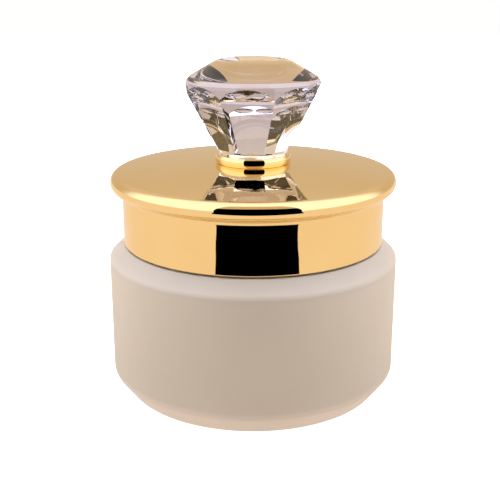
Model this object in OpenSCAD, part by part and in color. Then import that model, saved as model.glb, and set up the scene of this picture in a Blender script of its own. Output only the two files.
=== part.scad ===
// Powder jar: a frosted glass bowl with a gilt lift-off lid and a cut crystal knob.
// Millimetres, +Z up. The origin is the centre of the base, on the surface the jar stands on.

/* [Jar] */
// Outside diameter of the bowl
body_d = 88; // [70:1:120]
// Height of the straight wall, up to its corner with the shoulder
body_h = 41.6; // [30:0.2:70]
// Diameter of the flat base
base_d = 79; // [60:1:100]
// Height of the sloping heel between the base and the wall
heel_h = 6; // [3:0.5:10]
// Rounding of the heel's two corners
heel_round = 0.8; // [0.3:0.1:2]
// Rounding of the corner between wall and shoulder
shoulder_round = 2; // [0.5:0.1:3]
// Rise of the shoulder above the wall's corner
shoulder_h = 3.9; // [2:0.1:8]
// Thickness of the glass wall
wall_t = 3.5; // [2:0.1:6]
// Thickness of the glass floor
floor_t = 5; // [3:0.1:10]
// Thickness of the glass at the neck
neck_wall = 3.5; // [2:0.1:5]
// Rounding of the inside corner at the floor
floor_round = 5; // [2:0.5:8]

/* [Lid] */
// Outside diameter of the lid's skirt
skirt_d = 79; // [66:0.5:100]
// Thickness of the skirt
skirt_wall = 1.2; // [0.8:0.1:2]
// Height of the lid, from the skirt's lower edge to the top of the rim
lid_h = 21.3; // [17:0.1:32]
// Gap between the shoulder and the skirt's lower edge
lid_gap = 0.5; // [0.3:0.1:2]
// How far the rim stands out from the skirt
rim_overhang = 3.5; // [2.8:0.1:5]
// Thickness of the half-round rim
rim_t = 5.3; // [3:0.1:5.5]
// Radius of the cove between rim and skirt
cove_r = 2; // [1.2:0.1:4]
// Thickness of the top plate where the dome starts
plate_t = 1.9; // [1:0.1:3]
// Rise of the dome above the rim
dome_rise = 2.5; // [0.6:0.1:6]

/* [Liner and seal] */
// Wall of the plastic liner
liner_wall = 0.9; // [0.6:0.1:1.5]
// Thickness of the liner's disc
liner_t = 1.4; // [0.8:0.1:2.5]
// Radial clearance between the liner and the neck
neck_clear = 0.7; // [0.4:0.1:1.5]
// Overlap of the liner's wall outside the neck
liner_grip = 8; // [4:0.5:9]
// Thickness of the seal
seal_t = 1.6; // [0.8:0.1:3]
// Radial clearance round the seal
seal_clear = 0.35; // [0.3:0.05:0.6]

/* [Knob] */
// Diameter of the crystal at its girdle
knob_d = 40; // [28:0.5:48]
// Height of the crystal
knob_h = 27.8; // [22:0.1:40]
// Diameter of the flat table on top
table_d = 20.4; // [12:0.2:22]
// Height of the sloping crown
crown_h = 5.7; // [4:0.1:8]
// Diameter of the crystal's round foot
foot_d = 20.6; // [16:0.1:24]
// Height of the round foot
foot_h = 1.5; // [0.4:0.1:2.5]
// Width across the flats of the pavilion, where it leaves the foot
flats_low = 20.4; // [15.6:0.1:20.6]
// Height below the crown at which the flats run out into the girdle
girdle_h = 1; // [0.5:0.1:2.5]
// Number of flats
flats = 8; // [6:1:12]
// Turn of the flats about the axis
flats_turn = -5; // [-22:1:22]
// Rounding of the table's edge
table_round = 8; // [1:0.5:10]
// Rounding of the girdle
girdle_round = 3; // [1:0.1:3.5]
// Diameter of the gilt collar under the crystal
collar_d = 22.8; // [21.5:0.1:30]
// Height of the collar
collar_h = 2.8; // [2:0.1:4]
// Radius of the collar's bulging side
collar_bulge = 2.8; // [2.2:0.1:6]

/* [Knob fastening] */
// Thread diameter of the screw
screw_d = 4; // [3:0.5:5]
// Gap between the screw's tip and the crystal
tip_gap = 0.5; // [0.2:0.1:1]
// Diameter of the screw's head
head_d = 8; // [6:0.1:9]
// Height of the screw's head
head_h = 2.4; // [1.5:0.1:3]
// Length of each slot of the cross recess
recess_len = 4; // [3:0.1:5]
// Width of each slot of the cross recess
recess_w = 1; // [0.6:0.1:1.4]
// Depth of the cross recess
recess_depth = 1.2; // [0.6:0.1:1.3]
// Clearance of the screw in the lid and the collar, on the diameter
hole_clear = 0.4; // [0.2:0.1:1]
// Outside diameter of the washer
washer_d = 10; // [9:0.1:14]
// Thickness of the washer
washer_t = 0.8; // [0.5:0.1:1.5]
// Outside diameter of the threaded bush in the collar
bush_d = 7; // [6.5:0.1:10]
// Thickness of the collar's floor under the bush
bush_floor = 0.6; // [0.4:0.1:1]
// Room between the screw's head and the liner
head_clear = 0.3; // [0.2:0.1:1]

/* [Hidden] */
$fn = 96;
cut = 0.01;
arc_steps = 10;
dome_steps = 8;

// Heights, from the base up
shoulder_z = body_h + shoulder_h;
skirt_z = shoulder_z + lid_gap;
rim_z = skirt_z + lid_h;
ceiling_z = rim_z - plate_t;
washer_z = ceiling_z - washer_t;
head_z = washer_z - head_h;
liner_top_z = head_z - head_clear;
liner_low_z = liner_top_z - liner_t;
neck_top_z = liner_low_z - seal_t;
liner_foot_z = neck_top_z - liner_grip;

// The hollow's corner lies lower than the wall's, so that the shoulder is thicker than the wall
hollow_corner_z = body_h - wall_t / 2;

// Radii
body_r = body_d / 2;
base_r = base_d / 2;
skirt_r = skirt_d / 2;
rim_r = skirt_r + rim_overhang;
rim_round = rim_t / 2;
skirt_in_r = skirt_r - skirt_wall;
liner_in_r = skirt_in_r - liner_wall;
neck_r = liner_in_r - neck_clear;
neck_in_r = neck_r - neck_wall;
hollow_r = body_r - wall_t;
seal_r = liner_in_r - seal_clear;
collar_turn = asin(collar_h / 2 / collar_bulge);
collar_seat_r = collar_d / 2 - collar_bulge * (1 - cos(collar_turn));
washer_hole = screw_d + hole_clear;

// The dome is an arc from the rim to the flat pad under the collar
dome_r = rim_r - rim_round;
rim_centre = [dome_r, rim_z - rim_round];
dome_radius = (dome_r * dome_r + dome_rise * dome_rise) / (2 * dome_rise);
function dome_height(r) = rim_z + dome_rise - dome_radius + sqrt(dome_radius * dome_radius - r * r);
seat_z = dome_height(collar_seat_r);
collar_top_z = seat_z + collar_h;
collar_centre = [collar_d / 2 - collar_bulge, seat_z + collar_h / 2];
bush_z = seat_z + bush_floor;
screw_len = collar_top_z - tip_gap - washer_z;

// The cove touches both the skirt and the half-round rim
cove_side = skirt_r + cove_r - dome_r;
cove_drop = sqrt((rim_round + cove_r) * (rim_round + cove_r) - cove_side * cove_side);
cove_centre = rim_centre + [cove_side, -cove_drop];
cove_end = atan2(cove_drop, -cove_side);

// The crystal
knob_r = knob_d / 2;
knob_top_z = collar_top_z + knob_h;
crown_z = knob_top_z - crown_h;
foot_top_z = collar_top_z + foot_h;
flats_rise = crown_z - girdle_h - foot_top_z;
flats_lean = atan2(knob_r - flats_low / 2, flats_rise);
flat_cutter = 3 * knob_d;

// Unit vector from p to q
function toward(p, q) = (q - p) / norm(q - p);

// Points that round the corner b of the path a-b-c with radius r
function rounded(a, b, c, r) =
    let (u = toward(b, a))
    let (v = toward(b, c))
    let (half = acos(u * v) / 2)
    let (middle = b + toward([0, 0], u + v) * r / sin(half))
    let (from = b + u * r / tan(half) - middle)
    let (to = b + v * r / tan(half) - middle)
    let (start = atan2(from[1], from[0]))
    let (turn = (atan2(to[1], to[0]) - start + 540) % 360 - 180)
    [for (i = [0 : arc_steps])
        middle + r * [cos(start + turn * i / arc_steps), sin(start + turn * i / arc_steps)]];

// Points on an arc from one angle to another
function arc(centre, r, start, end, steps) =
    [for (i = [0 : steps])
        let (angle = start + (end - start) * i / steps)
        centre + r * [cos(angle), sin(angle)]];

// A ring of rectangular section
module ring(outer_r, inner_r, low_z, high_z) {
    translate([0, 0, low_z])
        difference() {
            cylinder(r = outer_r, h = high_z - low_z);
            translate([0, 0, -cut]) cylinder(r = inner_r, h = high_z - low_z + 2 * cut);
        }
}

// Outline of the bowl's outside and of its hollow, to be turned about the axis
function bowl_outline() = concat(
    [[0, 0]],
    rounded([0, 0], [base_r, 0], [body_r, heel_h], heel_round),
    rounded([base_r, 0], [body_r, heel_h], [body_r, body_h], heel_round),
    rounded([body_r, heel_h], [body_r, body_h], [skirt_r, shoulder_z], shoulder_round),
    [[skirt_r, shoulder_z], [neck_r, shoulder_z], [neck_r, neck_top_z], [0, neck_top_z]]);

function hollow_outline() = concat(
    [[0, floor_t]],
    rounded([0, floor_t], [hollow_r, floor_t], [hollow_r, hollow_corner_z], floor_round),
    [[hollow_r, hollow_corner_z], [neck_in_r, shoulder_z],
     [neck_in_r, neck_top_z + cut], [0, neck_top_z + cut]]);

// Frosted glass bowl with its neck
module jar() {
    color([0.86, 0.80, 0.73])
        difference() {
            rotate_extrude() polygon(bowl_outline());
            rotate_extrude() polygon(hollow_outline());
        }
}

// Outline of the lid: skirt, cove, half-round rim and dome
function lid_outline() = concat(
    [[0, skirt_z], [skirt_r, skirt_z]],
    arc(cove_centre, cove_r, 180, cove_end, arc_steps),
    arc(rim_centre, rim_round, cove_end - 180, 90, 2 * arc_steps),
    [for (i = [1 : dome_steps])
        let (r = dome_r + (collar_seat_r - dome_r) * i / dome_steps)
        [r, dome_height(r)]],
    [[0, seat_z]]);

// Gilt lid, hollow underneath, with the hole for the knob's screw
module lid_shell() {
    color([0.85, 0.71, 0.49])
        difference() {
            rotate_extrude() polygon(lid_outline());
            translate([0, 0, skirt_z - cut]) cylinder(r = skirt_in_r, h = ceiling_z - skirt_z + cut);
            translate([0, 0, ceiling_z - cut]) cylinder(d = washer_hole, h = seat_z - ceiling_z + 2 * cut);
        }
}

// Plastic liner pressed into the skirt: a wall round the neck and a disc over it
module lid_liner() {
    color([0.93, 0.92, 0.89])
        union() {
            ring(skirt_in_r, liner_in_r, liner_foot_z, ceiling_z);
            translate([0, 0, liner_low_z]) cylinder(r = liner_in_r + liner_wall / 2, h = liner_t);
        }
}

// Soft seal between the liner's disc and the neck
module seal_ring() {
    color([0.85, 0.86, 0.86])
        ring(seal_r, neck_in_r, neck_top_z, liner_low_z);
}

// Outline of the collar, with its bulging side
function collar_outline() = concat(
    [[0, seat_z]],
    arc(collar_centre, collar_bulge, -collar_turn, collar_turn, arc_steps),
    [[0, collar_top_z]]);

// Gilt collar, which the crystal is bonded to
module knob_collar() {
    color([0.93, 0.78, 0.50])
        difference() {
            rotate_extrude() polygon(collar_outline());
            translate([0, 0, seat_z - cut]) cylinder(d = washer_hole, h = bush_floor + 2 * cut);
            translate([0, 0, bush_z]) cylinder(d = bush_d, h = collar_h);
        }
}

// Outline of the crystal before its flats are cut
function crystal_outline() = concat(
    [[0, foot_top_z], [knob_r, foot_top_z]],
    rounded([knob_r, foot_top_z], [knob_r, crown_z], [table_d / 2, knob_top_z], girdle_round),
    rounded([knob_r, crown_z], [table_d / 2, knob_top_z], [0, knob_top_z], table_round),
    [[0, knob_top_z]]);

// Cut crystal: round foot, leaning flats, round girdle and smooth crown
module crystal_knob() {
    color([0.92, 0.90, 0.93])
        union() {
            translate([0, 0, collar_top_z]) cylinder(d = foot_d, h = foot_h + cut);
            difference() {
                rotate_extrude() polygon(crystal_outline());
                for (i = [0 : flats - 1])
                    rotate([0, 0, flats_turn - 90 + i * 360 / flats])
                        translate([flats_low / 2, 0, foot_top_z])
                            rotate([0, flats_lean, 0])
                                translate([0, -flat_cutter / 2, -flat_cutter / 2])
                                    cube(flat_cutter);
            }
        }
}

// Threaded brass bush pressed into the collar, under the crystal
module knob_bush() {
    color([0.80, 0.66, 0.36])
        ring(bush_d / 2, screw_d / 2, bush_z, collar_top_z);
}

// Pan-head screw with a cross recess, driven from inside the lid
module knob_screw() {
    color([0.75, 0.75, 0.77])
        difference() {
            union() {
                translate([0, 0, head_z]) cylinder(d = head_d, h = head_h);
                translate([0, 0, washer_z - cut]) cylinder(d = screw_d, h = screw_len + cut);
            }
            for (a = [0, 90])
                rotate([0, 0, a])
                    translate([-recess_len / 2, -recess_w / 2, head_z - cut])
                        cube([recess_len, recess_w, recess_depth + cut]);
        }
}

// Washer between the screw's head and the lid
module screw_washer() {
    color([0.70, 0.70, 0.72])
        ring(washer_d / 2, washer_hole / 2, washer_z, ceiling_z);
}

jar();
lid_shell();
lid_liner();
seal_ring();
knob_collar();
crystal_knob();
knob_bush();
knob_screw();
screw_washer();
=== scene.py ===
import math

import bmesh
import bpy
from mathutils import Matrix, Vector

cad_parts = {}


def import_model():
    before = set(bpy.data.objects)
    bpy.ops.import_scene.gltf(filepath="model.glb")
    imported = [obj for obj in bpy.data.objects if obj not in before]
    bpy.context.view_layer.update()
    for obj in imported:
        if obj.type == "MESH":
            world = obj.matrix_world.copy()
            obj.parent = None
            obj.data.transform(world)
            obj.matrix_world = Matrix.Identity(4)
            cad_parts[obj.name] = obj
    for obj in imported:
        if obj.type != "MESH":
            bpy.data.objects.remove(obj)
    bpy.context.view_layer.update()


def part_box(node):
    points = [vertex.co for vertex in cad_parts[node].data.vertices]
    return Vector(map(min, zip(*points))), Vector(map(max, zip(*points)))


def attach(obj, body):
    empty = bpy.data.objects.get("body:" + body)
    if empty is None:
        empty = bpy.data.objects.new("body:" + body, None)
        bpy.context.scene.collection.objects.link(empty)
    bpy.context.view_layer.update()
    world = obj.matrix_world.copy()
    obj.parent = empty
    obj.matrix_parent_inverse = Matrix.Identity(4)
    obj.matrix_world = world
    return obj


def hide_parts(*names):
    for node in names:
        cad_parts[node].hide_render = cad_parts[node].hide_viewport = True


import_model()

MM = 0.001
TURNS = 256          # segments round a turned piece
ARC_STEPS = 12       # segments in a rounded corner
SUPPORT = 0.12 * MM  # how close an extra ring lies to the end of a straight run
ON_AXIS = 1e-9       # a smaller radius than this is on the axis
WELD = 1e-7          # vertices closer than this become one
CUT_TOLERANCE = 1e-8
UP = Vector((0, 0, 1))

JAR = "jar_body"
SEAL = "seal_body"
LID = "lid_body"


# ---------------------------------------------------------------- profiles

def toward(p, q):
    return (q - p).normalized()


def rounded(a, b, c, radius, steps=ARC_STEPS):
    """Points that round corner b of the path a-b-c."""
    a, b, c = Vector(a), Vector(b), Vector(c)
    u, v = toward(b, a), toward(b, c)
    half = u.angle(v) / 2
    middle = b + (u + v).normalized() * (radius / math.sin(half))
    first = b + u * (radius / math.tan(half)) - middle
    last = b + v * (radius / math.tan(half)) - middle
    start = math.atan2(first.y, first.x)
    turn = math.atan2(last.y, last.x) - start
    turn = (turn + math.pi) % (2 * math.pi) - math.pi
    angles = [start + turn * i / steps for i in range(steps + 1)]
    return [middle + radius * Vector((math.cos(t), math.sin(t))) for t in angles]


def arc(centre, radius, start_deg, end_deg, steps=ARC_STEPS):
    """Points on an arc, from one angle to another."""
    angles = [math.radians(start_deg + (end_deg - start_deg) * i / steps) for i in range(steps + 1)]
    return [Vector(centre) + radius * Vector((math.cos(t), math.sin(t))) for t in angles]


def path(corners, closed=False):
    """A profile through (r, z, rounding) corners."""
    points = []
    count = len(corners)
    for i, (r, z, radius) in enumerate(corners):
        inside = closed or 0 < i < count - 1
        if radius and inside:
            before, after = corners[i - 1], corners[(i + 1) % count]
            points += rounded(before[:2], (r, z), after[:2], radius)
        else:
            points.append(Vector((r, z)))
    return points


def with_support(points, closed=False):
    """Adds rings just inside the ends of straight runs, so that smooth shading stays true on them."""
    result = []
    count = len(points)
    for i, p in enumerate(points):
        result.append(p)
        if i == count - 1 and not closed:
            break
        q = points[(i + 1) % count]
        if (q - p).length > 5 * SUPPORT:
            result += [p + toward(p, q) * SUPPORT, q + toward(q, p) * SUPPORT]
    return result


# ---------------------------------------------------------------- meshes

def new_object(name, bm):
    """A mesh object from bm, with smooth shading."""
    bmesh.ops.remove_doubles(bm, verts=bm.verts, dist=WELD)
    bmesh.ops.recalc_face_normals(bm, faces=bm.faces)
    for face in bm.faces:
        face.smooth = True
    mesh = bpy.data.meshes.new(name)
    bm.to_mesh(mesh)
    bm.free()
    piece = bpy.data.objects.new(name, mesh)
    bpy.context.scene.collection.objects.link(piece)
    return piece


def full_circle(turns):
    return [2 * math.pi * k / turns for k in range(turns)]


def bridge(bm, rings, closed=False):
    """Faces between neighbouring rings. A ring may repeat one vertex, which makes triangles there."""
    pairs = list(zip(rings, rings[1:]))
    if closed:
        pairs.append((rings[-1], rings[0]))
    for low, high in pairs:
        turns = len(low)
        for k in range(turns):
            corners = [low[k], low[(k + 1) % turns], high[(k + 1) % turns], high[k]]
            face = list(dict.fromkeys(corners))
            if len(face) > 2:
                bm.faces.new(face)


def lathe_mesh(points, closed=False, turns=TURNS):
    """A solid of revolution about Z. A point at r = 0 becomes a single vertex."""
    bm = bmesh.new()
    rings = []
    for p in points:
        if p.x < ON_AXIS:
            rings.append([bm.verts.new((0, 0, p.y))] * turns)
        else:
            rings.append([bm.verts.new((p.x * math.cos(t), p.x * math.sin(t), p.y))
                          for t in full_circle(turns)])
    bridge(bm, rings, closed)
    return bm


def lathe(name, corners, closed=False, turns=TURNS):
    points = with_support(path(corners, closed), closed)
    return new_object(name, lathe_mesh(points, closed, turns))


def boolean(piece, cutter, operation):
    """Applies a boolean to piece and removes the cutter."""
    modifier = piece.modifiers.new(operation, "BOOLEAN")
    modifier.operation = operation
    modifier.solver = "EXACT"
    modifier.object = cutter
    bpy.context.view_layer.update()
    done = piece.evaluated_get(bpy.context.evaluated_depsgraph_get())
    mesh = bpy.data.meshes.new_from_object(done)
    piece.modifiers.clear()
    piece.data = mesh
    bpy.data.objects.remove(cutter)


# ---------------------------------------------------------------- materials

def node_material(name):
    """A node material and its Principled shader."""
    material = bpy.data.materials.new(name)
    material.use_nodes = True
    return material, material.node_tree.nodes["Principled BSDF"]


def add(material, kind, **inputs):
    """A new node, with values on its inputs."""
    node = material.node_tree.nodes.new(kind)
    for key, value in inputs.items():
        node.inputs[key.replace("_", " ")].default_value = value
    return node


def wire(material, source, output, target, socket):
    material.node_tree.links.new(source.outputs[output], target.inputs[socket])


def noise(material, scale, detail=2.0, roughness=0.5):
    """Noise in the object's own coordinates; scale is in cycles per metre."""
    place = add(material, "ShaderNodeTexCoord")
    texture = add(material, "ShaderNodeTexNoise", Scale=scale, Detail=detail, Roughness=roughness)
    wire(material, place, "Object", texture, "Vector")
    return texture


def remap(material, source, output, low, high, spread=(0.3, 0.7)):
    """Maps a value from the range in spread to low and high."""
    node = material.node_tree.nodes.new("ShaderNodeMapRange")
    node.inputs["From Min"].default_value = spread[0]
    node.inputs["From Max"].default_value = spread[1]
    node.inputs["To Min"].default_value = low
    node.inputs["To Max"].default_value = high
    wire(material, source, output, node, "Value")
    return node


def vary_roughness(material, shader, texture, low, high):
    wire(material, remap(material, texture, "Fac", low, high), "Result", shader, "Roughness")


def bump(material, shader, texture, strength, distance):
    node = add(material, "ShaderNodeBump", Strength=strength, Distance=distance)
    wire(material, texture, "Fac", node, "Height")
    wire(material, node, "Normal", shader, "Normal")


def colour_ramp(material, *stops):
    """A ramp through (position, colour) stops, in rising order."""
    node = add(material, "ShaderNodeValToRGB")
    elements = node.color_ramp.elements
    for element, (position, colour) in zip(elements, (stops[0], stops[-1])):
        element.position = position
        element.color = (*colour, 1)
    for position, colour in stops[1:-1]:
        elements.new(position).color = (*colour, 1)
    return node


def mottle(material, texture, low, high, shader):
    """Varies the base colour between low and high."""
    ramp = colour_ramp(material, (0.35, low), (0.65, high))
    wire(material, texture, "Fac", ramp, "Fac")
    wire(material, ramp, "Color", shader, "Base Color")


def gilt():
    """Polished gold plate: nearly a mirror, slightly wavy, with faint wear in its polish."""
    material, shader = node_material("gilt_metal")
    shader.inputs["Metallic"].default_value = 1.0
    vary_roughness(material, shader, noise(material, scale=260, detail=4), 0.015, 0.04)
    mottle(material, noise(material, scale=60), (0.94, 0.715, 0.34), (0.95, 0.735, 0.36), shader)
    bump(material, shader, noise(material, scale=110, detail=1), 1.0, 0.08 * MM)
    return material


def frosted():
    """Acid-frosted glass with a fine grain, with painted light and shade by height: a painted highlight
    on the heel, painted shade just above it, lighter towards the shoulder and a little darker again at
    its top.
    """
    material, shader = node_material("frosted_glass")
    shader.inputs["Transmission Weight"].default_value = 0.3
    shader.inputs["IOR"].default_value = 1.5
    place = add(material, "ShaderNodeTexCoord")
    split = add(material, "ShaderNodeSeparateXYZ")
    wire(material, place, "Object", split, 0)
    # painted shading by height: a painted highlight on the heel, painted shade just above it, lighter
    # upwards
    height = remap(material, split, "Z", 0, 1, (0, SHOULDER_Z))
    sides = [(position, tuple(part * share for part in GLASS_TONE)) for position, share in GLASS_PAINTED_SHADING_SHARES]
    painted_shading_ramp = colour_ramp(material, (GLASS_HEEL, GLASS_HEEL_PAINTED_HIGHLIGHT), *sides, (GLASS_RIM, GLASS_RIM_TONE))
    wire(material, height, "Result", painted_shading_ramp, "Fac")
    cloud = add(material, "ShaderNodeMix")
    cloud.data_type = "RGBA"
    cloud.blend_type = "MULTIPLY"
    cloud.inputs["B"].default_value = (*CLOUD_TONE, 1)
    drift = remap(material, noise(material, scale=45, detail=3), "Fac", 0, 0.6)
    wire(material, drift, "Result", cloud, "Factor")
    wire(material, painted_shading_ramp, "Color", cloud, "A")
    wire(material, cloud, "Result", shader, "Base Color")
    vary_roughness(material, shader, noise(material, scale=900, detail=3), 0.42, 0.55)
    bump(material, shader, noise(material, scale=6000, detail=2), 0.15, 0.03 * MM)
    return material


def crystal():
    """Clear lead crystal, with a lavender cast that grows towards the girdle."""
    material, shader = node_material("crystal")
    shader.inputs["Transmission Weight"].default_value = 1.0
    shader.inputs["IOR"].default_value = 1.7
    shader.inputs["Roughness"].default_value = 0.0
    place = add(material, "ShaderNodeTexCoord")
    flat = add(material, "ShaderNodeVectorMath")
    flat.operation = "MULTIPLY"
    flat.inputs[1].default_value = (1, 1, 0)
    wire(material, place, "Object", flat, 0)
    distance = add(material, "ShaderNodeVectorMath")
    distance.operation = "LENGTH"
    wire(material, flat, "Vector", distance, 0)
    share = remap(material, distance, "Value", 0, 1, (CAST_FROM_R, KNOB_R))
    cast = add(material, "ShaderNodeMix")
    cast.data_type = "RGBA"
    cast.inputs["A"].default_value = (*CRYSTAL_CLEAR, 1)
    cast.inputs["B"].default_value = (*CRYSTAL_LAVENDER, 1)
    wire(material, share, "Result", cast, "Factor")
    wire(material, cast, "Result", shader, "Base Color")
    return material


def plastic(name, low, high, rough):
    """Moulded plastic or foam with a fine grain, about as rough as given."""
    material, shader = node_material(name)
    mottle(material, noise(material, scale=150, detail=3), low, high, shader)
    vary_roughness(material, shader, noise(material, scale=1500, detail=3), rough - 0.06, rough + 0.06)
    bump(material, shader, noise(material, scale=2500, detail=2), 0.2, 0.02 * MM)
    return material


def machined(name, low, high):
    """Machined metal, slightly uneven in tone and in polish."""
    material, shader = node_material(name)
    shader.inputs["Metallic"].default_value = 1.0
    mottle(material, noise(material, scale=400, detail=3), low, high, shader)
    vary_roughness(material, shader, noise(material, scale=900), 0.22, 0.38)
    bump(material, shader, noise(material, scale=4000, detail=2), 0.2, 0.02 * MM)
    return material


def paint(piece, material):
    piece.data.materials.clear()
    piece.data.materials.append(material)


# ---------------------------------------------------------------- sizes

jar_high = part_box("jar")[1]
lid_low, lid_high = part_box("lid_shell")
seal_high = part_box("seal_ring")[1]
liner_low, liner_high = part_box("lid_liner")
collar_low, collar_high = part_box("knob_collar")
crystal_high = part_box("crystal_knob")[1]

SEAL_WIDTH = 3.85 * MM
BODY_R = jar_high.x
NECK_TOP = jar_high.z
SKIRT_Z = lid_low.z
RIM_R = lid_high.x
SEAT_Z = collar_low.z
COLLAR_R = collar_high.x
COLLAR_TOP = collar_high.z
KNOB_TOP = crystal_high.z
NECK_IN_R = seal_high.x - SEAL_WIDTH

# Bowl
BASE_R = 39.5 * MM
HEEL_H = 6 * MM
WALL_TOP = 41.6 * MM
SHOULDER_Z = 45.5 * MM
SKIRT_R = 39.5 * MM
NECK_R = 36.7 * MM
WALL = 3.5 * MM
FLOOR = 5 * MM

# Lid
RIM_T = 5.3 * MM
RIM_TOP = SKIRT_Z + 21.3 * MM
DOME_RISE = 2.5 * MM
DOME_STEPS = 24
SKIRT_WALL = 1.2 * MM
CEILING = liner_high.z
COVE_R = 2 * MM
HOLE_R = 2.2 * MM

# Liner
LINER_WALL = 0.9 * MM
LINER_T = 1.4 * MM

# Screw
SCREW_R = 2 * MM
HEAD_H = 2.4 * MM
THREAD_PITCH = 0.7 * MM
THREAD_ROOT_R = 1.65 * MM
THREAD_START = 0.9   # pitches from the head to the first thread root
THREAD_SHARP_DEG = 30
RECESS_LENGTH = 4 * MM
RECESS_WIDTH = 1 * MM
RECESS_DEPTH = 1.2 * MM
CUTTER_H = 10 * MM

# Knob
COLLAR_BULGE = 2.8 * MM
COLLAR_TURN = math.degrees(math.asin((COLLAR_TOP - SEAT_Z) / 2 / COLLAR_BULGE))
KNOB_R = 20 * MM
CROWN_H = 5.7 * MM
TABLE_R = 10.2 * MM
FOOT_R = 10.3 * MM
FOOT_H = 1.5 * MM
FLATS = 8
FLATS_LOW_R = 10.2 * MM
FLATS_TURN = math.radians(-5)
GIRDLE_H = 1 * MM
TABLE_ROUND = 8 * MM
GIRDLE_ROUND = 3 * MM
NOTCH_LENGTH = 6.4 * MM
NOTCH_R = 1.0 * MM
NOTCH_DROP = 2.8 * MM
NOTCH_SPREAD = 1.03  # 1 would make two almonds touch at their tips
NOTCH_STEPS = 16
NOTCH_TURNS = 24
FOOT_OVERLAP = 0.05 * MM  # how far the foot reaches up into the cut body
FACET_DEG = 14            # facets that meet at more than this have a sharp edge
BOND = 0.03 * MM          # how far the foot reaches into the collar, as a bonded joint has no air in it

# Glass tone, warm partly in place of warmer light, with painted light and shade by share of the height
# up to the shoulder's top
GLASS_TONE = (0.98, 0.89, 0.72)
GLASS_PAINTED_SHADING_SHARES = ((0.17, 0.78), (0.45, 0.855), (0.85, 0.92))
GLASS_HEEL = 0.11
# a painted highlight on the heel, where the glass faces the floor
GLASS_HEEL_PAINTED_HIGHLIGHT = (0.95, 0.875, 0.77)
GLASS_RIM = 0.95
GLASS_RIM_TONE = (0.84, 0.77, 0.66)
CLOUD_TONE = (0.93, 0.93, 0.93)

# Crystal tone, clear within CAST_FROM_R of the axis
CRYSTAL_CLEAR = (0.975, 0.955, 0.93)
CRYSTAL_LAVENDER = (0.74, 0.74, 1.0)
CAST_FROM_R = 0.5 * KNOB_R

# Camera
LENS = 65.8
EYE = (0, -0.2713, 0.12536)
EYE_DOWN = math.radians(17.15)
EYE_TURN = math.radians(0.2)

# Studio: a floor, and a dark opening in front with a dark strip of floor before it
FLOOR_HALF = 1.5
CARD_Y = -0.36
CARD_NEAR = -0.125   # the near end of the dark strip
CARD_LEFT = -0.195
CARD_RIGHT = 0.25
CARD_TOP = 0.3
LAMP_Z = 0.9         # also the top of the warm wall above the opening
LAMP_Y = 0.27
LAMP_WIDTH = 1.6
LAMP_DEPTH = 1.26
LAMP_POWER = 11
LAMP_COLOUR = (0.8, 0.87, 1.0)
FLOOR_WHITE = 1.0
FLOOR_GLOW = (0.97, 0.80, 0.68)
SIDE_LIGHT = (1.4, 1.38, 1.55)
BACKDROP_LOW = (0.68, 0.545, 0.41)   # also the glow of the warm wall
BACKDROP_HIGH = (0.76, 0.64, 0.55)
WHITE_BACKGROUND = (1.0, 1.0, 0.985)


# ---------------------------------------------------------------- pieces

def bowl():
    """Bowl with a chamfered heel, a sloping shoulder and a neck that the lid hides."""
    inner_r = BODY_R - WALL
    return lathe("bowl", [
        (0, 0, 0),
        (BASE_R, 0, 0.8 * MM),
        (BODY_R, HEEL_H, 1.6 * MM),
        (BODY_R, WALL_TOP, 2 * MM),
        (SKIRT_R, SHOULDER_Z, 0.6 * MM),
        (NECK_R, SHOULDER_Z, 0.4 * MM),
        (NECK_R, NECK_TOP, 0.8 * MM),
        (NECK_IN_R, NECK_TOP, 0.8 * MM),
        (NECK_IN_R, SHOULDER_Z, 3 * MM),
        (inner_r, WALL_TOP - WALL / 2, 4 * MM),
        (inner_r, FLOOR, 5 * MM),
        (0, FLOOR, 0),
    ])


def dome_points():
    """The lid's top, an arc from the pad under the collar out to the rim."""
    edge = RIM_R - RIM_T / 2
    radius = (edge ** 2 + DOME_RISE ** 2) / (2 * DOME_RISE)
    seat_r = COLLAR_R - COLLAR_BULGE * (1 - math.cos(math.radians(COLLAR_TURN)))
    radii = [seat_r + (edge - seat_r) * i / DOME_STEPS for i in range(DOME_STEPS)]
    top = RIM_TOP + DOME_RISE - radius
    return [Vector((r, top + math.sqrt(radius ** 2 - r ** 2))) for r in radii]


def lid():
    """Domed top, half-round rim, tangent cove and thin skirt, open below."""
    edge = 0.45 * MM
    rim_round = RIM_T / 2
    skirt_in_r = SKIRT_R - SKIRT_WALL
    rim = Vector((RIM_R - rim_round, RIM_TOP - rim_round))
    side = SKIRT_R + COVE_R - rim.x
    drop = math.sqrt((rim_round + COVE_R) ** 2 - side ** 2)
    cove = rim + Vector((side, -drop))
    cove_end = math.degrees(math.atan2(drop, -side))
    points = [Vector((HOLE_R, SEAT_Z))]
    points += dome_points()
    points += arc(rim, rim_round, 90, cove_end - 180, 2 * ARC_STEPS)
    points += arc(cove, COVE_R, cove_end, 180)[1:]
    points += rounded((SKIRT_R, cove.y), (SKIRT_R, SKIRT_Z), (skirt_in_r, SKIRT_Z), edge)
    points += rounded((SKIRT_R, SKIRT_Z), (skirt_in_r, SKIRT_Z), (skirt_in_r, CEILING), edge)
    points += rounded((skirt_in_r, SKIRT_Z), (skirt_in_r, CEILING), (HOLE_R, CEILING), edge)
    points.append(Vector((HOLE_R, CEILING)))
    return new_object("lid", lathe_mesh(with_support(points, True), True))


def collar():
    """A ring whose outer side bulges."""
    soft = 0.25 * MM
    middle = (COLLAR_TOP + SEAT_Z) / 2
    side = arc((COLLAR_R - COLLAR_BULGE, middle), COLLAR_BULGE, COLLAR_TURN, -COLLAR_TURN, 2 * ARC_STEPS)
    points = [Vector((HOLE_R, COLLAR_TOP))]
    points += rounded((HOLE_R, COLLAR_TOP), side[0], side[2], soft, 4)
    points += side[3:-3]
    points += rounded(side[-3], side[-1], (HOLE_R, SEAT_Z), soft, 4)
    points.append(Vector((HOLE_R, SEAT_Z)))
    return new_object("collar", lathe_mesh(with_support(points, True), True))


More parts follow.
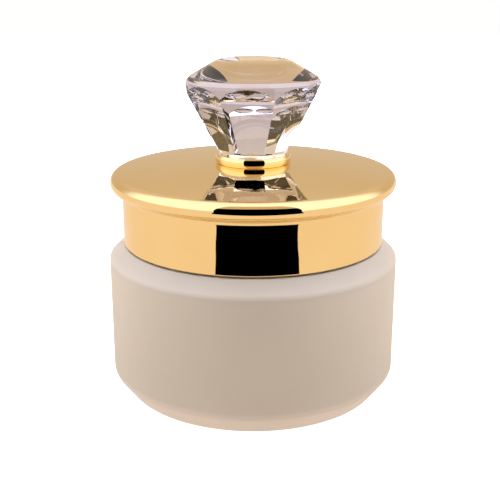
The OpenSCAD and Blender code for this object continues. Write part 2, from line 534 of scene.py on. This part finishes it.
def flat_frame(index):
    """Where a flat's plane leaves the foot, its outward normal and its direction across."""
    crown_z = KNOB_TOP - CROWN_H
    rise = crown_z - GIRDLE_H - (COLLAR_TOP + FOOT_H)
    lean = math.atan2(KNOB_R - FLATS_LOW_R, rise)
    turn = FLATS_TURN - math.pi / 2 + index * 2 * math.pi / FLATS
    out = Vector((math.cos(turn), math.sin(turn), 0))
    start = out * FLATS_LOW_R + UP * (COLLAR_TOP + FOOT_H)
    normal = out * math.cos(lean) - UP * math.sin(lean)
    along = out * math.sin(lean) + UP * math.cos(lean)
    return start, normal, along, UP.cross(out)


def almond(bm, centre, across, along, normal):
    """Adds one almond-shaped cutter, with its length along the across direction."""
    arc_r = (NOTCH_LENGTH ** 2 / 4 + NOTCH_R ** 2) / (2 * NOTCH_R)
    rings = []
    for i in range(NOTCH_STEPS + 1):
        x = -NOTCH_LENGTH / 2 + NOTCH_LENGTH * i / NOTCH_STEPS
        r = math.sqrt(max(arc_r ** 2 - x ** 2, 0)) - (arc_r - NOTCH_R)
        spot = centre + across * x
        if i in (0, NOTCH_STEPS):
            rings.append([bm.verts.new(spot)] * NOTCH_TURNS)
        else:
            rings.append([bm.verts.new(spot + r * (normal * math.cos(t) + along * math.sin(t)))
                          for t in full_circle(NOTCH_TURNS)])
    bridge(bm, rings)


def notches():
    """Almond-shaped cutters, two to each flat, just under the girdle."""
    bm = bmesh.new()
    for index in range(FLATS):
        start, normal, along, across = flat_frame(index)
        height = (KNOB_TOP - CROWN_H - NOTCH_DROP - start.z) / along.z
        for side in (-1, 1):
            centre = start + along * height + across * side * NOTCH_LENGTH / 2 * NOTCH_SPREAD
            almond(bm, centre, across, along, normal)
    return new_object("notch_cutters", bm)


def crystal_knob():
    """A turned outline, cut by the flats, joined to its foot and notched under the girdle."""
    foot_top = COLLAR_TOP + FOOT_H
    crown_z = KNOB_TOP - CROWN_H
    outline = path([
        (0, foot_top, 0),
        (KNOB_R, foot_top, 0),
        (KNOB_R, crown_z, GIRDLE_ROUND),
        (TABLE_R, KNOB_TOP, TABLE_ROUND),
        (0, KNOB_TOP, 0),
    ])
    bm = lathe_mesh(outline, turns=192)
    for index in range(FLATS):
        start, normal, _, _ = flat_frame(index)
        everything = bm.verts[:] + bm.edges[:] + bm.faces[:]
        cut = bmesh.ops.bisect_plane(bm, geom=everything, plane_co=start, plane_no=normal,
                                     clear_outer=True, dist=CUT_TOLERANCE)
        rim = [g for g in cut["geom_cut"] if isinstance(g, bmesh.types.BMEdge)]
        bmesh.ops.contextual_create(bm, geom=rim)
    knob = new_object("crystal", bm)
    foot = lathe("foot", [
        (0, COLLAR_TOP - BOND, 0),
        (FOOT_R, COLLAR_TOP - BOND, 0),
        (FOOT_R, foot_top + FOOT_OVERLAP, 0.25 * MM),
        (0, foot_top + FOOT_OVERLAP, 0),
    ], turns=96)
    boolean(knob, foot, "UNION")
    boolean(knob, notches(), "DIFFERENCE")
    for polygon in knob.data.polygons:
        polygon.use_smooth = True
    knob.data.set_sharp_from_angle(angle=math.radians(FACET_DEG))
    return knob


def liner():
    """The moulded liner: a wall pressed into the skirt and a disc across it."""
    soft = 0.25 * MM
    corner = 0.4 * MM
    inside = liner_high.x - LINER_WALL
    return lathe("liner", [
        (0, seal_high.z, 0),
        (inside, seal_high.z, corner),
        (inside, liner_low.z, soft),
        (liner_high.x, liner_low.z, soft),
        (liner_high.x, liner_high.z, soft),
        (inside, liner_high.z, soft),
        (inside, seal_high.z + LINER_T, corner),
        (0, seal_high.z + LINER_T, 0),
    ])


def ring(name, node, inside_r, soft):
    """A turned ring with softened edges that fills a CAD ring's place."""
    low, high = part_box(node)
    return lathe(name, [
        (inside_r, low.z, soft),
        (high.x, low.z, soft),
        (high.x, high.z, soft),
        (inside_r, high.z, soft),
    ], closed=True)


def seal():
    return ring("seal", "seal_ring", NECK_IN_R, 0.35 * MM)


def washer():
    return ring("washer", "screw_washer", HOLE_R, 0.15 * MM)


def bush():
    return ring("bush", "knob_bush", SCREW_R, 0.1 * MM)


def box_cutter(length, width, top):
    """A box across the axis, reaching down from top."""
    bm = bmesh.new()
    place = Matrix.Translation((0, 0, top - CUTTER_H / 2))
    bmesh.ops.create_cube(bm, size=1, matrix=place @ Matrix.Diagonal((length, width, CUTTER_H, 1)))
    return new_object("recess_cutter", bm)


def screw():
    """Pan-head screw, head down, with a cross recess and a rolled thread."""
    low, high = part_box("knob_screw")
    head_top = low.z + HEAD_H
    corners = [
        (0, low.z, 0),
        (high.x, low.z, 0.9 * MM),
        (high.x, head_top, 0.2 * MM),
        (SCREW_R, head_top, 0.2 * MM),
    ]
    crests = int((high.z - head_top) / THREAD_PITCH - 1)
    for i in range(crests):
        z = head_top + (i + THREAD_START) * THREAD_PITCH
        corners += [(THREAD_ROOT_R, z, 0), (SCREW_R, z + THREAD_PITCH / 2, 0)]
    corners += [(THREAD_ROOT_R, high.z, 0), (0, high.z, 0)]
    piece = lathe("screw", corners, turns=96)
    boolean(piece, box_cutter(RECESS_LENGTH, RECESS_WIDTH, low.z + RECESS_DEPTH), "DIFFERENCE")
    boolean(piece, box_cutter(RECESS_WIDTH, RECESS_LENGTH, low.z + RECESS_DEPTH), "DIFFERENCE")
    piece.data.set_sharp_from_angle(angle=math.radians(THREAD_SHARP_DEG))
    return piece


# ---------------------------------------------------------------- studio

def camera():
    data = bpy.data.cameras.new("camera")
    data.sensor_width = 36
    data.lens = LENS
    data.clip_start = 0.01
    eye = bpy.data.objects.new("camera", data)
    eye.location = EYE
    eye.rotation_euler = (math.pi / 2 - EYE_DOWN, 0, EYE_TURN)
    bpy.context.scene.collection.objects.link(eye)
    bpy.context.scene.camera = eye


def card(name, corners, material):
    """A flat stage card that only reflections and light show."""
    bm = bmesh.new()
    bm.faces.new([bm.verts.new(c) for c in corners])
    piece = new_object(name, bm)
    piece.visible_camera = False
    paint(piece, material)
    return piece


def upright(name, bottom, top, material):
    """A card as wide as the dark opening that stands in front of the object."""
    return card(name, [(CARD_LEFT, CARD_Y, bottom), (CARD_RIGHT, CARD_Y, bottom),
                       (CARD_RIGHT, CARD_Y, top), (CARD_LEFT, CARD_Y, top)], material)


def floor_card(name, height, material):
    return card(name, [(-FLOOR_HALF, -FLOOR_HALF, height), (FLOOR_HALF, -FLOOR_HALF, height),
                       (FLOOR_HALF, FLOOR_HALF, height), (-FLOOR_HALF, FLOOR_HALF, height)], material)


def overhead():
    """A wide soft lamp that points straight down and shows in no reflection."""
    data = bpy.data.lights.new("overhead", "AREA")
    data.shape = "RECTANGLE"
    data.size = LAMP_WIDTH
    data.size_y = LAMP_DEPTH
    data.energy = LAMP_POWER
    data.color = LAMP_COLOUR
    lamp = bpy.data.objects.new("overhead", data)
    lamp.location = (0, LAMP_Y, LAMP_Z)
    lamp.visible_camera = False
    lamp.visible_glossy = False
    bpy.context.scene.collection.objects.link(lamp)


def world():
    """White to the camera. To everything else it is bright at the sides and duller behind the object."""
    scene_world = bpy.data.worlds.new("world")
    scene_world.use_nodes = True
    bpy.context.scene.world = scene_world
    nodes, links = scene_world.node_tree.nodes, scene_world.node_tree.links
    background = nodes["Background"]
    place = nodes.new("ShaderNodeTexCoord")
    split = nodes.new("ShaderNodeSeparateXYZ")
    links.new(place.outputs["Generated"], split.inputs[0])

    def blend(axis, low, high, first, second):
        """Goes from the first colour to the second as the direction's axis goes from low to high."""
        share = nodes.new("ShaderNodeMapRange")
        share.interpolation_type = "SMOOTHSTEP"
        share.inputs["From Min"].default_value = low
        share.inputs["From Max"].default_value = high
        links.new(split.outputs[axis], share.inputs["Value"])
        mix = nodes.new("ShaderNodeMix")
        mix.data_type = "RGBA"
        links.new(share.outputs["Result"], mix.inputs["Factor"])
        for socket, colour in (("A", first), ("B", second)):
            if isinstance(colour, tuple):
                mix.inputs[socket].default_value = (*colour, 1)
            else:
                links.new(colour.outputs["Result"], mix.inputs[socket])
        return mix

    backdrop = blend("Z", 0.3, 0.6, BACKDROP_LOW, BACKDROP_HIGH)
    shade = blend("Y", 0.2, 0.6, SIDE_LIGHT, backdrop)
    ray = nodes.new("ShaderNodeLightPath")
    pick = nodes.new("ShaderNodeMix")
    pick.data_type = "RGBA"
    pick.inputs["B"].default_value = (*WHITE_BACKGROUND, 1)
    links.new(ray.outputs["Is Camera Ray"], pick.inputs["Factor"])
    links.new(shade.outputs["Result"], pick.inputs["A"])
    links.new(pick.outputs["Result"], background.inputs["Color"])


def show_only_to_camera(piece):
    """Keeps a card out of reflections, light and shadow."""
    piece.visible_camera = True
    for kind in ("diffuse", "glossy", "transmission", "volume_scatter", "shadow"):
        setattr(piece, "visible_" + kind, False)


def glowing(name, base, glow, strength):
    """A card material that gives off its own even light."""
    material, shader = node_material(name)
    shader.inputs["Base Color"].default_value = (*base, 1)
    shader.inputs["Roughness"].default_value = 1.0
    shader.inputs["Specular IOR Level"].default_value = 0
    shader.inputs["Emission Color"].default_value = (*glow, 1)
    shader.inputs["Emission Strength"].default_value = strength
    return material


def studio():
    bpy.context.scene.view_settings.view_transform = "Standard"
    world()
    black = (0, 0, 0)
    pale = (0.95, 0.95, 0.95)
    white = (1, 1, 1)
    show_only_to_camera(floor_card("floor", 0, glowing("white_floor", pale, white, FLOOR_WHITE)))
    floor_card("lighting_floor", -0.1 * MM, glowing("warm_floor", black, FLOOR_GLOW, 1))
    dark = glowing("black_card", black, black, 0)
    upright("dark_opening", 0, CARD_TOP, dark)
    upright("warm_wall", CARD_TOP, LAMP_Z, glowing("warm_card", black, BACKDROP_LOW, 1))
    near = CARD_NEAR / CARD_Y
    card("dark_apron", [(CARD_LEFT, CARD_Y, 0), (CARD_RIGHT, CARD_Y, 0),
                        (CARD_RIGHT * near, CARD_NEAR, 0), (CARD_LEFT * near, CARD_NEAR, 0)], dark)
    overhead()


# ---------------------------------------------------------------- build

camera()
studio()

GILT = gilt()
FROSTED = frosted()
CRYSTAL = crystal()
WHITE = plastic("white_plastic", (0.80, 0.79, 0.76), (0.86, 0.85, 0.82), 0.4)
FOAM = plastic("seal_foam", (0.62, 0.64, 0.65), (0.70, 0.72, 0.73), 0.7)
BRASS = machined("brass", (0.70, 0.52, 0.24), (0.80, 0.62, 0.32))
STEEL = machined("screw_steel", (0.55, 0.56, 0.58), (0.68, 0.69, 0.71))

for build, node, body, slot, material in [
    (bowl, "jar", JAR, "frosted_glass", FROSTED),
    (lid, "lid_shell", LID, "gilt_metal", GILT),
    (collar, "knob_collar", LID, "gilt_metal", GILT),
    (crystal_knob, "crystal_knob", LID, "crystal", CRYSTAL),
    (seal, "seal_ring", SEAL, "seal_foam", FOAM),
    (liner, "lid_liner", LID, "white_plastic", WHITE),
    (bush, "knob_bush", LID, "brass", BRASS),
    (screw, "knob_screw", LID, "screw_steel", STEEL),
    (washer, "screw_washer", LID, "screw_steel", STEEL),
]:
    piece = build()
    paint(piece, material)
    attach(piece, body)
    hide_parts(node)
